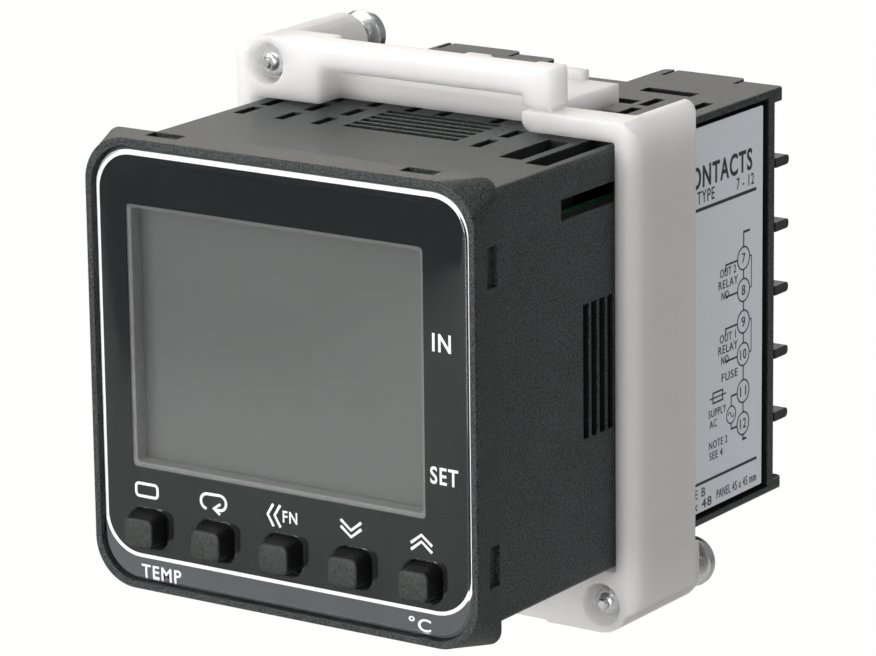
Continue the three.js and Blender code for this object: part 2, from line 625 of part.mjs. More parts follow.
function buildController() {
  const m = MATERIALS;
  const group = new THREE.Group();
  const add = (name, shape, material) => addMesh(group, name, shape, material);

  add('bezel', bezel(), m.charcoalPlastic);
  add('front_lens', frontLens(), m.smokeLens);
  add('window_frame', windowFrame(), m.windowGrey);
  add('lcd_panel', lcdPanel(), m.lcdGrey);
  add('backlight_block', backlight(), m.lightGuide);
  KEY_NAMES.forEach((name, i) => add(name, key(i), m.keyRubber));

  add('display_board', displayBoard(), m.circuitBoard);
  KEY_NAMES.forEach((name, i) => add(`tact_switch_${i + 1}`, tactSwitch(i), m.switchBody));
  add('power_board', sideBoard(1), m.circuitBoard);
  add('control_board', sideBoard(-1), m.circuitBoard);
  add('transformer', transformer(), m.coilYellow);
  RELAY.bottoms.forEach((bottom, i) => add(`relay_${i + 1}`, relay(bottom), m.relayBlue));
  add('main_capacitor', capacitor(), m.canBlack);
  add('microcontroller', microcontroller(), m.chipBlack);
  add('board_connector', boardConnector(), m.chipBlack);
  add('tool_port_socket', toolPortSocket(), m.chipBlack);

  add('case', caseShell(), m.charcoalPlastic);
  add('side_label', sideLabel(), m.labelGrey);
  add('terminal_block', terminalBlock(), m.terminalBlack);
  TERMINALS.forEach((place, i) => {
    add(`contact_plate_${i + 1}`, contactPlate(place), m.platedBrass);
    add(`terminal_screw_${i + 1}`, terminalScrew(place), m.zincSteel);
  });

  add('adapter', adapter(), m.milkPlastic);
  add('clamp_screw_upper', clampScrew(), m.zincSteel);
  add('clamp_screw_lower', halfTurn(clampScrew()), m.zincSteel);
  return group;
}

export default buildController();
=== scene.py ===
"""Looks for a panel-mount temperature controller and its clamp-on mounting adapter.

Shapes are made in millimetres, in the frame's own axes, and scaled to metres when they are shown.
The display faces -Y, +Z is up, and +X is the side with the label.
"""

import math
import random

import bmesh
import bpy
from mathutils import Matrix, Quaternion, Vector


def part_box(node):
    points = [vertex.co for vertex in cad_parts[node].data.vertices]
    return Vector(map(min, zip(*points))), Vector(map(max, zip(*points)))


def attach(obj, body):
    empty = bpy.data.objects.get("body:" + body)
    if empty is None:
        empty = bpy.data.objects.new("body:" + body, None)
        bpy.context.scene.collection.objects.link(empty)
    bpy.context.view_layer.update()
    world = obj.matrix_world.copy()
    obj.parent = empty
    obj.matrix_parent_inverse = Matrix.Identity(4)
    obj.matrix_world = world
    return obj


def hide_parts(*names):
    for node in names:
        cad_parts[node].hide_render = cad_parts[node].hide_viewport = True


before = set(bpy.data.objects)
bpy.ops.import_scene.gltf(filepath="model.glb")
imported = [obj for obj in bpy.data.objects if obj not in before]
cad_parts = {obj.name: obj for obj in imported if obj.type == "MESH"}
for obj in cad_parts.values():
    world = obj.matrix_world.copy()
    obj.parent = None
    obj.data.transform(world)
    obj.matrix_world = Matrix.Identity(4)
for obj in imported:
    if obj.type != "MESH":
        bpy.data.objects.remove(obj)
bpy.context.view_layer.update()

MM = 0.001
BODY = "controller"
KEYS = ["level_key", "mode_key", "shift_key", "down_key", "up_key"]
TERMINALS = range(1, 13)
CORNER = 10  # facets on a rounded corner


# ---------------------------------------------------------------- places from the CAD


def node_box(name):
    """Lowest and highest corner of a CAD node, in millimetres."""
    low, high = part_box(name)
    return low / MM, high / MM


def middle(name):
    low, high = node_box(name)
    return (low + high) / 2


# ---------------------------------------------------------------- mesh helpers


def rounded(cx, cz, half_w, half_h, radius, steps=CORNER):
    """Points of a rounded rectangle, as (x, z) pairs."""
    points = []
    for sx, sz, start in ((1, 1, 0), (-1, 1, 90), (-1, -1, 180), (1, -1, 270)):
        for i in range(steps + 1):
            angle = math.radians(start + 90 * i / steps)
            x = cx + sx * (half_w - radius) + radius * math.cos(angle)
            z = cz + sz * (half_h - radius) + radius * math.sin(angle)
            points.append((x, z))
    return points


def ring(cx, cz, half_w, half_h, radius, y, steps=CORNER):
    return [Vector((x, y, z)) for x, z in rounded(cx, cz, half_w, half_h, radius, steps)]


def skin(bm, rings):
    """Quads between neighbouring rings of equal length."""
    rows = [[bm.verts.new(p) for p in points] for points in rings]
    for a, b in zip(rows, rows[1:]):
        for i in range(len(a)):
            j = (i + 1) % len(a)
            bm.faces.new((a[i], a[j], b[j], b[i]))
    return rows


def loft(rings):
    """A closed solid through a run of rings, with flat ends."""
    bm = bmesh.new()
    rows = skin(bm, rings)
    bm.faces.new(rows[0])
    bm.faces.new(rows[-1])
    bmesh.ops.recalc_face_normals(bm, faces=bm.faces)
    return bm


def tube(outer, inner):
    """A closed ring-shaped solid: outer rings from front to back, inner rings from front to back."""
    bm = bmesh.new()
    skin(bm, [*outer, *reversed(inner), outer[0]])
    bmesh.ops.remove_doubles(bm, verts=bm.verts, dist=1e-5)
    bmesh.ops.recalc_face_normals(bm, faces=bm.faces)
    return bm


def box(low, high):
    bm = bmesh.new()
    bmesh.ops.create_cube(bm, size=1)
    low, high = Vector(low), Vector(high)
    size = high - low
    for v in bm.verts:
        v.co = Vector((v.co.x * size.x, v.co.y * size.y, v.co.z * size.z)) + (low + high) / 2
    return bm


def merged(parts):
    """Several bmeshes as one."""
    whole = bmesh.new()
    for part in parts:
        mesh = bpy.data.meshes.new("part")
        part.to_mesh(mesh)
        part.free()
        whole.from_mesh(mesh)
        bpy.data.meshes.remove(mesh)
    return whole


def slab(outline, y0, y1):
    """A flat closed outline, given as (x, z) pairs, as a thin solid from y0 to y1."""
    return loft([[Vector((x, y0, z)) for x, z in outline], [Vector((x, y1, z)) for x, z in outline]])


def arc(x, z, radius, start, end, steps):
    """Points on an arc, from start to end in degrees."""
    turns = [math.radians(start + (end - start) * i / steps) for i in range(steps + 1)]
    return [(x + radius * math.cos(a), z + radius * math.sin(a)) for a in turns]


def band(points, width):
    """One closed outline that follows an open or a closed run of points at half a width to each side."""
    count = len(points)
    left, right = [], []
    for i, (x, z) in enumerate(points):
        ax, az = points[max(i - 1, 0)]
        bx, bz = points[min(i + 1, count - 1)]
        length = math.hypot(bx - ax, bz - az) or 1
        nx, nz = -(bz - az) / length * width / 2, (bx - ax) / length * width / 2
        left.append((x + nx, z + nz))
        right.append((x - nx, z - nz))
    return left + right[::-1]


def lathe(profile, steps=48):
    """A solid turned about the y axis, from (radius, y) pairs that start and end on the axis."""
    bm = bmesh.new()
    rows = []
    for radius, y in profile:
        if radius < 1e-6:
            rows.append([bm.verts.new((0, y, 0))])
            continue
        turns = [2 * math.pi * i / steps for i in range(steps)]
        rows.append([bm.verts.new((radius * math.cos(a), y, radius * math.sin(a))) for a in turns])
    for a, b in zip(rows, rows[1:]):
        for i in range(steps):
            j = (i + 1) % steps
            corners = [a[i % len(a)], a[j % len(a)], b[j % len(b)], b[i % len(b)]]
            bm.faces.new(list(dict.fromkeys(corners)))
    bmesh.ops.recalc_face_normals(bm, faces=bm.faces)
    return bm


def as_object(name, bm):
    mesh = bpy.data.meshes.new(name)
    bm.to_mesh(mesh)
    bm.free()
    made = bpy.data.objects.new(name, mesh)
    bpy.context.scene.collection.objects.link(made)
    return made


def applied(obj):
    """The object with its modifiers turned into mesh."""
    graph = bpy.context.evaluated_depsgraph_get()
    mesh = bpy.data.meshes.new_from_object(obj.evaluated_get(graph))
    obj.modifiers.clear()
    obj.data = mesh
    return obj


def carve(obj, cutters):
    """Cuts every cutter out of the object."""
    tool = as_object("cutter", merged(cutters))
    cutting = obj.modifiers.new("cut", "BOOLEAN")
    cutting.operation = "DIFFERENCE"
    cutting.solver = "EXACT"
    cutting.use_self = True
    cutting.object = tool
    applied(obj)
    bpy.data.objects.remove(tool)
    return obj


def soften(obj, width, segments=2, angle=30):
    """Rounds the object's sharp edges."""
    bevel = obj.modifiers.new("soft", "BEVEL")
    bevel.width = width
    bevel.segments = segments
    bevel.limit_method = "ANGLE"
    bevel.angle_limit = math.radians(angle)
    bevel.use_clamp_overlap = True
    applied(obj)
    obj.data.shade_smooth()
    obj.data.set_sharp_from_angle(angle=math.radians(50))
    weigh = obj.modifiers.new("flat", "WEIGHTED_NORMAL")
    weigh.mode = "FACE_AREA"
    weigh.weight = 100
    weigh.keep_sharp = True
    applied(obj)
    obj["ready"] = True
    return obj


def cad_copy(name, node):
    """A CAD node's shape in millimetres."""
    bm = bmesh.new()
    bm.from_mesh(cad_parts[node].data)
    bmesh.ops.scale(bm, vec=Vector((1 / MM,) * 3), verts=bm.verts)
    bmesh.ops.remove_doubles(bm, verts=bm.verts, dist=1e-3)
    return as_object(name, bm)


def show(obj, material, body=BODY, replaces=(), sharp=35):
    """Scales a finished shape to metres and puts it on its body."""
    obj.data.transform(Matrix.Scale(MM, 4))
    if not obj.pop("ready", False):
        obj.data.shade_smooth()
        obj.data.set_sharp_from_angle(angle=math.radians(sharp))
    obj.data.materials.clear()
    obj.data.materials.append(material)
    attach(obj, body)
    if replaces:
        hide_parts(*replaces)
    return obj


# ---------------------------------------------------------------- material helpers


class Paint:
    """A material's node tree, with its Principled shader at hand."""

    def __init__(self, name, **sockets):
        self.material = bpy.data.materials.new(name)
        self.material.use_nodes = True
        self.tree = self.material.node_tree
        self.shader = self.tree.nodes["Principled BSDF"]
        self.set(**sockets)

    def set(self, **sockets):
        for key, value in sockets.items():
            self.shader.inputs[key.replace("_", " ")].default_value = value

    def node(self, kind, **values):
        made = self.tree.nodes.new(kind)
        for key, value in values.items():
            name = key.replace("_", " ")
            if name in made.inputs:
                made.inputs[name].default_value = value
            else:
                setattr(made, key, value)
        return made

    def link(self, output, target):
        self.tree.links.new(output, target)
        return self

    def place(self, stretch=(1, 1, 1)):
        """Object coordinates, scaled by stretch."""
        source = self.node("ShaderNodeTexCoord").outputs["Object"]
        mapping = self.node("ShaderNodeMapping")
        mapping.inputs["Scale"].default_value = stretch
        self.link(source, mapping.inputs["Vector"])
        return mapping.outputs["Vector"]

    def noise(self, size, detail=2.0, stretch=(1, 1, 1)):
        """Noise whose lumps are about size millimetres across."""
        made = self.node("ShaderNodeTexNoise", Scale=1 / (size * MM), Detail=detail)
        self.link(self.place(stretch), made.inputs["Vector"])
        return made.outputs["Fac"]

    def ramp(self, source, stops):
        """Colours or greys at places along source."""
        made = self.node("ShaderNodeValToRGB")
        elements = made.color_ramp.elements
        while len(elements) < len(stops):
            elements.new(0.5)
        for element, (position, colour) in zip(elements, stops):
            element.position = position
            element.color = colour if len(colour) == 4 else (*colour, 1)
        self.link(source, made.inputs["Fac"])
        return made.outputs["Color"]

    def spread(self, source, low, high):
        """Source's 0 to 1 as low to high."""
        made = self.node("ShaderNodeMapRange", From_Min=0.3, From_Max=0.7, To_Min=low, To_Max=high)
        self.link(source, made.inputs["Value"])
        return made.outputs["Result"]

    def bump(self, source, height):
        """Relief height millimetres deep."""
        made = self.node("ShaderNodeBump", Distance=height * MM)
        self.link(source, made.inputs["Height"])
        return made.outputs["Normal"]

    def math(self, operation, *values):
        """One step of arithmetic on numbers and node outputs."""
        made = self.node("ShaderNodeMath", operation=operation)
        for socket, value in zip(made.inputs, values):
            if isinstance(value, (int, float)):
                socket.default_value = value
            else:
                self.link(value, socket)
        return made.outputs[0]

    def depth_in(self, half):
        """1 on the skin of a square tube half * 2 millimetres wide, 0 from 0.25 mm inside it."""
        axes = self.node("ShaderNodeSeparateXYZ")
        self.link(self.place(), axes.inputs["Vector"])
        reach = self.math("MAXIMUM", *[self.math("ABSOLUTE", axes.outputs[axis]) for axis in "XZ"])
        made = self.node("ShaderNodeMapRange", From_Min=(half - 0.25) * MM, From_Max=(half - 0.08) * MM)
        self.link(reach, made.inputs["Value"])
        return made.outputs["Result"]

    def feed(self, **sources):
        for key, source in sources.items():
            self.link(source, self.shader.inputs[key.replace("_", " ")])
        return self


def grey(value, warm=0.0):
    """A linear grey, a little red for warm above 0 and a little blue below."""
    return (value * (1 + warm), value, value * (1 - warm))


def moulded(name, colour, roughness, grain, depth, speckle=0.15, skin=None, **sockets):
    """Moulded plastic: spark-eroded grain over faint clouds. Behind its skin it is painted near-black and dull,
    as the shade inside the housing.
    """
    paint = Paint(name, **sockets)
    fine = paint.noise(grain, 3)
    clouds = paint.noise(6.0, 3)
    tone = paint.math("ADD", paint.math("MULTIPLY", fine, 0.93), paint.math("MULTIPLY", clouds, 0.07))
    gloss = paint.spread(fine, roughness - 0.07, roughness + 0.07)
    # painted shade: deeper than the outer skin the colour falls to near black and the surface turns dull, for
    # the dark inside of the housing
    if skin:
        shell = paint.depth_in(skin)
        tone = paint.math("MULTIPLY", tone, shell)
        inside = paint.math("SUBTRACT", 1.0, shell)
        gloss = paint.math("MAXIMUM", gloss, paint.math("MULTIPLY", inside, 0.85))
    low, high = [c * (1 - speckle) for c in colour], [c * (1 + speckle) for c in colour]
    stops = [(0.42, low), (0.58, high)]
    # the near-black stops below are the painted shade inside the housing
    if skin:
        stops = [(0.0, grey(0.001)), (0.2, grey(0.001)), *stops]
    paint.feed(Base_Color=paint.ramp(tone, stops), Roughness=gloss, Normal=paint.bump(fine, depth))
    return paint.material


def metal(name, colour, roughness):
    """Plated metal with fine turning marks and faint stains."""
    paint = Paint(name, Metallic=1.0)
    cloud = paint.noise(2.2, 4)
    marks = paint.noise(0.25, 3, (0.2, 1.6, 0.2))
    tones = [(0.3, [c * 0.82 for c in colour]), (0.7, colour)]
    paint.feed(
        Base_Color=paint.ramp(cloud, tones),
        Roughness=paint.spread(cloud, roughness - 0.05, roughness + 0.09),
        Normal=paint.bump(marks, 0.004),
    )
    return paint.material


def clear_cover(name, **sockets):
    """Clear moulded sheet. Light that comes straight from a lamp passes through it."""
    paint = Paint(name, IOR=1.49, Transmission_Weight=1.0, Base_Color=(0.95, 0.955, 0.95, 1), **sockets)
    haze = paint.noise(3.0, 3)
    paint.feed(Roughness=paint.spread(haze, 0.015, 0.045))
    through = paint.node("ShaderNodeBsdfTransparent")
    through.inputs["Color"].default_value = (0.95, 0.955, 0.95, 1)
    mix = paint.node("ShaderNodeMixShader")
    shadow = paint.node("ShaderNodeLightPath").outputs["Is Shadow Ray"]
    paint.link(shadow, mix.inputs["Fac"])
    paint.link(paint.shader.outputs["BSDF"], mix.inputs[1])
    paint.link(through.outputs["BSDF"], mix.inputs[2])
    paint.link(mix.outputs["Shader"], paint.tree.nodes["Material Output"].inputs["Surface"])
    return paint.material


def ink(name, colour, roughness=0.5, shine=0.5):
    """Screen-printed ink with a slightly uneven coat."""
    paint = Paint(name, Specular_IOR_Level=shine)
    coat = paint.noise(0.5, 3)
    tones = [(0.3, [c * 0.94 for c in colour]), (0.7, colour)]
    paint.feed(
        Base_Color=paint.ramp(coat, tones),
        Roughness=paint.spread(coat, roughness - 0.05, roughness + 0.05),
        Normal=paint.bump(coat, 0.001),
    )
    return paint.material


def milky(name):
    """Translucent nylon that lets light in a few millimetres."""
    paint = Paint(name, Roughness=0.42, Subsurface_Weight=1.0, Subsurface_Scale=1.0, IOR=1.5)
    paint.set(Subsurface_Radius=(0.0077, 0.0081, 0.0083))
    cloud = paint.noise(7.0, 3)
    fine = paint.noise(0.5, 3)
    tones = [(0.3, (0.93, 0.87, 0.85)), (0.7, (0.97, 0.915, 0.90))]
    paint.feed(
        Base_Color=paint.ramp(cloud, tones),
        Roughness=paint.spread(fine, 0.36, 0.5),
        Normal=paint.bump(fine, 0.012),
    )
    return paint.material


def satin_film(name):
    """Silver-grey printed film with the fine tooth of its overlaminate."""
    paint = Paint(name, Metallic=0.08, IOR=1.45)
    tooth = paint.noise(0.22, 2)
    cloud = paint.noise(14.0, 2)
    tones = [(0.3, (0.885, 0.92, 0.995)), (0.7, (0.915, 0.95, 1.0))]
    paint.feed(
        Base_Color=paint.ramp(cloud, tones),
        Roughness=paint.spread(tooth, 0.42, 0.56),
        Normal=paint.bump(tooth, 0.006),
    )
    return paint.material


def display_glass(name):
    """The switched-off display: grey polariser film, a little darker towards one corner."""
    paint = Paint(name, Coat_Weight=0.25, Coat_Roughness=0.12, IOR=1.45)
    cloud = paint.noise(30.0, 1)
    film = paint.noise(0.12, 2)
    tones = [(0.3, (0.046, 0.048, 0.048)), (0.7, (0.055, 0.057, 0.056))]
    paint.feed(
        Base_Color=paint.ramp(cloud, tones),
        Roughness=paint.spread(film, 0.3, 0.4),
        Normal=paint.bump(film, 0.0015),
    )
    return paint.material


def rubber(name):
    """Silicone rubber: sandblasted grey on the pressed face, with painted shade turning the sides black where
    they sink into the key hole.
    """
    paint = Paint(name, Specular_IOR_Level=0.35)
    fine = paint.noise(0.26, 3)
    facing = paint.node("ShaderNodeSeparateXYZ")
    paint.link(paint.node("ShaderNodeTexCoord").outputs["Normal"], facing.inputs["Vector"])
    # painted shade: the further a face turns from the front, the lower this mask, so the sides go black like
    # the shadow inside the key hole
    front = paint.node("ShaderNodeMapRange", From_Min=-0.35, From_Max=-0.9)
    paint.link(facing.outputs["Y"], front.inputs["Value"])
    tone = paint.math("MULTIPLY", front.outputs["Result"], fine)
    # the black first stop is painted shade on the sides; the greys are the rubber's own colour
    stops = [(0.0, grey(0.002)), (0.35, (0.018, 0.020, 0.019)), (0.65, (0.044, 0.047, 0.045))]
    paint.feed(
        Base_Color=paint.ramp(tone, stops),
        Roughness=paint.spread(fine, 0.44, 0.6),
        Normal=paint.bump(fine, 0.08),
    )
    return paint.material


def circuit(name):
    """Green solder mask over tracks and pads, its greens darkened as painted shade for a board that sits inside
    the case.
    """
    paint = Paint(name, Coat_Weight=0.3, Coat_Roughness=0.2)
    sizes = {"Scale": 1.0, "Mortar_Size": 0.08, "Brick_Width": 0.9, "Row_Height": 0.31}
    tracks = paint.node("ShaderNodeTexBrick", **sizes)
    # painted shade: these greens are darker than the mask's own colour, for the dark inside of the case
    tracks.inputs["Color1"].default_value = (0.002, 0.040, 0.014, 1)
    tracks.inputs["Color2"].default_value = (0.003, 0.052, 0.018, 1)
    tracks.inputs["Mortar"].default_value = (0.008, 0.10, 0.034, 1)
    paint.link(paint.place((260, 260, 260)), tracks.inputs["Vector"])
    pads = paint.node("ShaderNodeTexVoronoi", Scale=1 / (3.1 * MM), feature="F1")
    paint.link(paint.place(), pads.inputs["Vector"])
    dots = paint.ramp(pads.outputs["Distance"], [(0.16, (1, 1, 1)), (0.19, (0, 0, 0))])
    mix = paint.node("ShaderNodeMix", data_type="RGBA")
    mix.inputs[7].default_value = (0.62, 0.60, 0.55, 1)
    paint.link(dots, mix.inputs[0])
    paint.link(tracks.outputs["Color"], mix.inputs[6])
    fine = paint.noise(0.3, 2)
    paint.feed(
        Base_Color=mix.outputs[2],
        Metallic=dots,
        Roughness=paint.spread(fine, 0.32, 0.45),
        Normal=paint.bump(tracks.outputs["Fac"], 0.03),
    )
    return paint.material


def wound(name):
    """Enamelled wire laid side by side under a varnish."""
    paint = Paint(name, Coat_Weight=0.4, Coat_Roughness=0.2)
    turns = paint.node("ShaderNodeTexWave", Scale=1 / (1.6 * MM), Distortion=0.6, bands_direction="Z")
    paint.link(paint.place(), turns.inputs["Vector"])
    tones = [(0.2, (0.20, 0.055, 0.012)), (0.8, (0.62, 0.26, 0.07))]
    paint.feed(
        Base_Color=paint.ramp(turns.outputs["Fac"], tones),
        Roughness=paint.spread(turns.outputs["Fac"], 0.3, 0.42),
        Normal=paint.bump(turns.outputs["Fac"], 0.08),
    )
    return paint.material


# ---------------------------------------------------------------- materials

# the case's inner walls are painted near-black as shade inside the housing
CASE_PLASTIC_SHADED_INSIDE = moulded("case_plastic_shaded_inside", (0.028, 0.036, 0.037), 0.42, 0.22, 0.14, 0.95, skin=22.4)
GRAIN = moulded("bezel_plastic", (0.020, 0.0265, 0.0255), 0.38, 0.20, 0.15, 0.95)
BLOCK = moulded("terminal_plastic", grey(0.022), 0.45, 0.35, 0.06, 0.5)
KEY_RUBBER_SHADED_SIDES = rubber("key_rubber")
FRAME_GREY = moulded("window_grey", (0.080, 0.082, 0.081), 0.5, 0.3, 0.010)
COMPONENT_BLACK = moulded("component_black", grey(0.015), 0.45, 0.2, 0.010)
SWITCH_BODY = moulded("switch_body", grey(0.035, -0.1), 0.45, 0.2, 0.010)
RELAY_BLUE = moulded("relay_blue", (0.012, 0.07, 0.33), 0.38, 0.5, 0.008)
TAPE_YELLOW = moulded("coil_tape", (0.68, 0.45, 0.05), 0.42, 0.6, 0.012)
SLEEVE = moulded("capacitor_sleeve", grey(0.02, -0.3), 0.28, 0.6, 0.006)
LIGHT_GUIDE = moulded("light_guide", (0.80, 0.83, 0.79), 0.3, 0.6, 0.005, 0.05)
COVER = clear_cover("lens_cover")
COVER_EDGE = clear_cover("lens_edge", Coat_Weight=0.4, Coat_IOR=1.9, Coat_Roughness=0.12)
BLACK_INK = ink("black_print", (0.0062, 0.0088, 0.0088), 0.5, 0.06)
SLATE_INK = ink("slate_print", (0.072, 0.080, 0.083), 0.5, 0.06)
WHITE_INK = ink("white_print", (0.93, 0.93, 0.94), 0.5)
DARK_INK = ink("label_print", (0.022, 0.025, 0.032), 0.45)
DISPLAY = display_glass("display_film")
FILM = satin_film("label_film")
MILK = milky("milk_nylon")
ZINC = metal("zinc_plate", (0.72, 0.73, 0.73), 0.24)
BRASS = metal("plated_brass", (0.70, 0.66, 0.54), 0.30)
LAMINATE_SHADED = circuit("circuit_board")
WIRE = wound("winding")


# ---------------------------------------------------------------- front

BEZEL_LOW, BEZEL_HIGH = node_box("bezel")
LENS_LOW, LENS_HIGH = node_box("front_lens")
LENS_FRONT, LENS_BACK = LENS_LOW.y, LENS_HIGH.y
LENS_HALF = LENS_HIGH.x - 0.2
LENS_RADIUS = 4.45
PRINT_FRONT = LENS_FRONT + 0.6
WINDOW = {"left": -19.25, "right": 17.3, "bottom": -10.87, "top": 16.97, "radius": 0.5}
KEY_HOLE = {"width": 4.5, "height": 4.1, "radius": 1.2}
KEY_CENTRES = [middle(name) for name in KEYS]
KEY_Z = -17.25


def window_ring(margin, y):
    """The outline of the display window, grown by margin."""
    half_w = (WINDOW["right"] - WINDOW["left"]) / 2 + margin
    half_h = (WINDOW["top"] - WINDOW["bottom"]) / 2 + margin
    cx = (WINDOW["right"] + WINDOW["left"]) / 2
    cz = (WINDOW["top"] + WINDOW["bottom"]) / 2
    return ring(cx, cz, half_w, half_h, WINDOW["radius"], y)


def key_ring(x, margin, y):
    """The outline of the key opening at x, grown by margin."""
    half_w = KEY_HOLE["width"] / 2 + margin
    half_h = KEY_HOLE["height"] / 2 + margin
    return ring(x, KEY_Z, half_w, half_h, KEY_HOLE["radius"] + margin, y)


def key_hole(x, rim, front, back):
    """A key opening, flared by rim millimetres at the plane front."""
    profile = [(rim + 1, front - 1), (rim, front), (rim * 0.4, front + rim * 0.45),
               (0, front + rim * 1.3), (0, back)]
    return loft([key_ring(x, margin, y) for margin, y in profile])


def grip_notches(half):
    """Two shallow finger notches in each of the bezel's four sides."""
    front, back, depth = -1.95, -0.25, 0.45
    cutters = []
    for near, far in ((half - depth, half + 1), (-half - 1, depth - half)):
        for left, right in ((13.7, 17.6), (-17.6, -13.7)):
            cutters.append(box((left, front, near), (right, back, far)))
        for low, high in ((13.2, 17.4), (-17.4, -13.2)):
            cutters.append(box((near, front, low), (far, back, high)))
    return cutters


def bezel_shell():
    """The front moulding: square at the panel, round-cornered at the rim, grained all over."""
    half = BEZEL_HIGH.x
    front = BEZEL_LOW.y
    pocket = LENS_HALF + 0.12
    floor = -2.85
    outside = [(half, 1.8, 0.0), (half, 1.87, -0.12), (half - 0.05, 5.0, front + 0.26)]
    for turn in (22, 45, 68, 90):
        inset = 0.05 + 0.22 * (1 - math.cos(math.radians(turn)))
        outside.append((half - inset, 5.0 - inset, front + 0.26 - 0.26 * math.sin(math.radians(turn))))
    shell = as_object("bezel_shell", loft([ring(0, 0, h, h, r, y, 14) for h, r, y in outside]))
    cutters = [
        loft([ring(0, 0, pocket + flare, pocket + flare, LENS_RADIUS + 0.12 + flare, y, 14)
              for flare, y in ((0.9, front - 0.8), (0.1, front), (0.0, front + 0.1), (0.0, floor))]),
        loft([ring(0, 0, 22.55, 22.55, 1.0, y) for y in (-1.5, 1.0)]),
        loft([window_ring(0.95, y) for y in (-5.0, 1.0)]),
        *[loft([key_ring(c.x, 0, y) for y in (-5.0, 1.0)]) for c in KEY_CENTRES],
        *grip_notches(half),
    ]
    carve(shell, cutters)
    soften(shell, 0.06, 2, 50)
    show(shell, GRAIN, replaces=["bezel"])


def lens_cover():
    """The clear front sheet, chamfered round its edge and rounded at each key opening."""
    half, radius = LENS_HALF, LENS_RADIUS
    profile = [(0.04, LENS_BACK), (0, LENS_BACK - 0.04), (0, LENS_FRONT + 0.46), (0.06, LENS_FRONT + 0.36),
               (0.40, LENS_FRONT + 0.03), (0.50, LENS_FRONT)]
    rings = [ring(0, 0, half - inset, half - inset, radius - inset, y, 14) for inset, y in profile]
    cover = as_object("lens_cover", loft(rings))
    carve(cover, [key_hole(c.x, 0.16, LENS_FRONT, LENS_BACK + 1) for c in KEY_CENTRES])
    show(cover, COVER, replaces=["front_lens"], sharp=25)
    cover.data.materials.append(COVER_EDGE)
    for face in cover.data.polygons:
        if abs(face.normal.y) < 0.98:
            face.material_index = 1


BORDER = {"half": 22.67, "top": 22.31, "bottom": -20.4, "width": 0.4, "radius": 4.2}


def border_ring(margin, y):
    """The outline of the white border line, grown by margin."""
    half_h = (BORDER["top"] - BORDER["bottom"]) / 2
    cz = (BORDER["top"] + BORDER["bottom"]) / 2
    return ring(0, cz, BORDER["half"] + margin, half_h + margin, BORDER["radius"] + margin, y, 14)


def front_print():
    """Black field, slate surround and white border line, printed inside the cover."""
    front, back = PRINT_FRONT, PRINT_FRONT + 0.1
    half_line = BORDER["width"] / 2
    field = as_object("black_field", loft([border_ring(-half_line, y) for y in (front, back)]))
    holes = [loft([window_ring(0, y) for y in (front - 1, back + 1)])]
    holes += [loft([key_ring(c.x, 0.12, y) for y in (front - 1, back + 1)]) for c in KEY_CENTRES]
    carve(field, holes)
    show(field, BLACK_INK)
    outer, inner = [[border_ring(margin, y) for y in (front, back)] for margin in (half_line, -half_line)]
    line = tube(outer, inner)
    show(as_object("border_line", line), WHITE_INK)
    edge = LENS_HALF - 0.04
    outside = [ring(0, 0, edge, edge, LENS_RADIUS, y, 14) for y in (front, back)]
    surround = tube(outside, outer)
    show(as_object("slate_surround", surround), SLATE_INK)


def mark(name, outlines):
    """White print standing just in front of the black field."""
    thickness = 0.03
    y = PRINT_FRONT - thickness
    parts = [slab(outline, y - 0.0004 * i, y + thickness) for i, outline in enumerate(outlines)]
    show(as_object(name, merged(parts)), WHITE_INK)


def key_marks():
    """The signs over the five keys."""
    pen = 0.30
    pill = rounded(-17.47, -13.28, 1.38, 0.68, 0.4, 5)
    mark("mark_level", [band([*pill, pill[0]], pen)])
    loop = [*arc(-9.72, -13.22, 0.80, 262, 95, 8), *arc(-8.12, -13.18, 0.80, 88, -95, 8), (-8.75, -13.95)]
    head = [(-8.05, -13.30), (-8.94, -13.88), (-8.12, -14.42)]
    mark("mark_mode", [band(loop, pen), band(head, pen)])
    left = [band([(x + 0.72, -12.2), (x, -13.36), (x + 0.72, -14.55)], pen) for x in (-2.08, -1.22)]
    mark("mark_shift", left)
    down = [band([(6.98, z + 0.98), (8.24, z), (9.50, z + 0.98)], pen) for z in (-13.45, -14.15)]
    mark("mark_down", down)
    up = [band([(15.52, z - 0.98), (16.79, z), (18.06, z - 0.98)], pen) for z in (-12.55, -13.25)]
    mark("mark_up", up)


def glyphs(text, left, right, bottom, top, plane, weight=0.0):
    """Plain characters that fill a rectangle of a plane, as a thin solid."""
    curve = bpy.data.curves.new("glyphs", "FONT")
    curve.body = text
    curve.offset = weight
    curve.extrude = 0.015
    curve.space_character = 1.15
    curve.resolution_u = 6
    holder = bpy.data.objects.new("glyphs", curve)
    bpy.context.scene.collection.objects.link(holder)
    graph = bpy.context.evaluated_depsgraph_get()
    mesh = bpy.data.meshes.new_from_object(holder.evaluated_get(graph))
    bpy.data.objects.remove(holder)
    xs = [v.co.x for v in mesh.vertices]
    ys = [v.co.y for v in mesh.vertices]
    wide = (right - left) / (max(xs) - min(xs))
    tall = (top - bottom) / (max(ys) - min(ys))
    for v in mesh.vertices:
        v.co = plane(left + (v.co.x - min(xs)) * wide, bottom + (v.co.y - min(ys)) * tall, v.co.z)
    bm = bmesh.new()
    bm.from_mesh(mesh)
    bmesh.ops.remove_doubles(bm, verts=bm.verts, dist=1e-4)
    bmesh.ops.recalc_face_normals(bm, faces=bm.faces)
    return bm


def printed(name, lines, plane, material, weight=0.0):
    """Lines of (text, left, right, bottom, top) as one printed piece."""
    show(as_object(name, merged([glyphs(*line, plane, weight) for line in lines])), material)


def on_front(across, upward, out):
    """A point of the front print, out millimetres towards the viewer."""
    return Vector((across, PRINT_FRONT - 0.016 - out, upward))


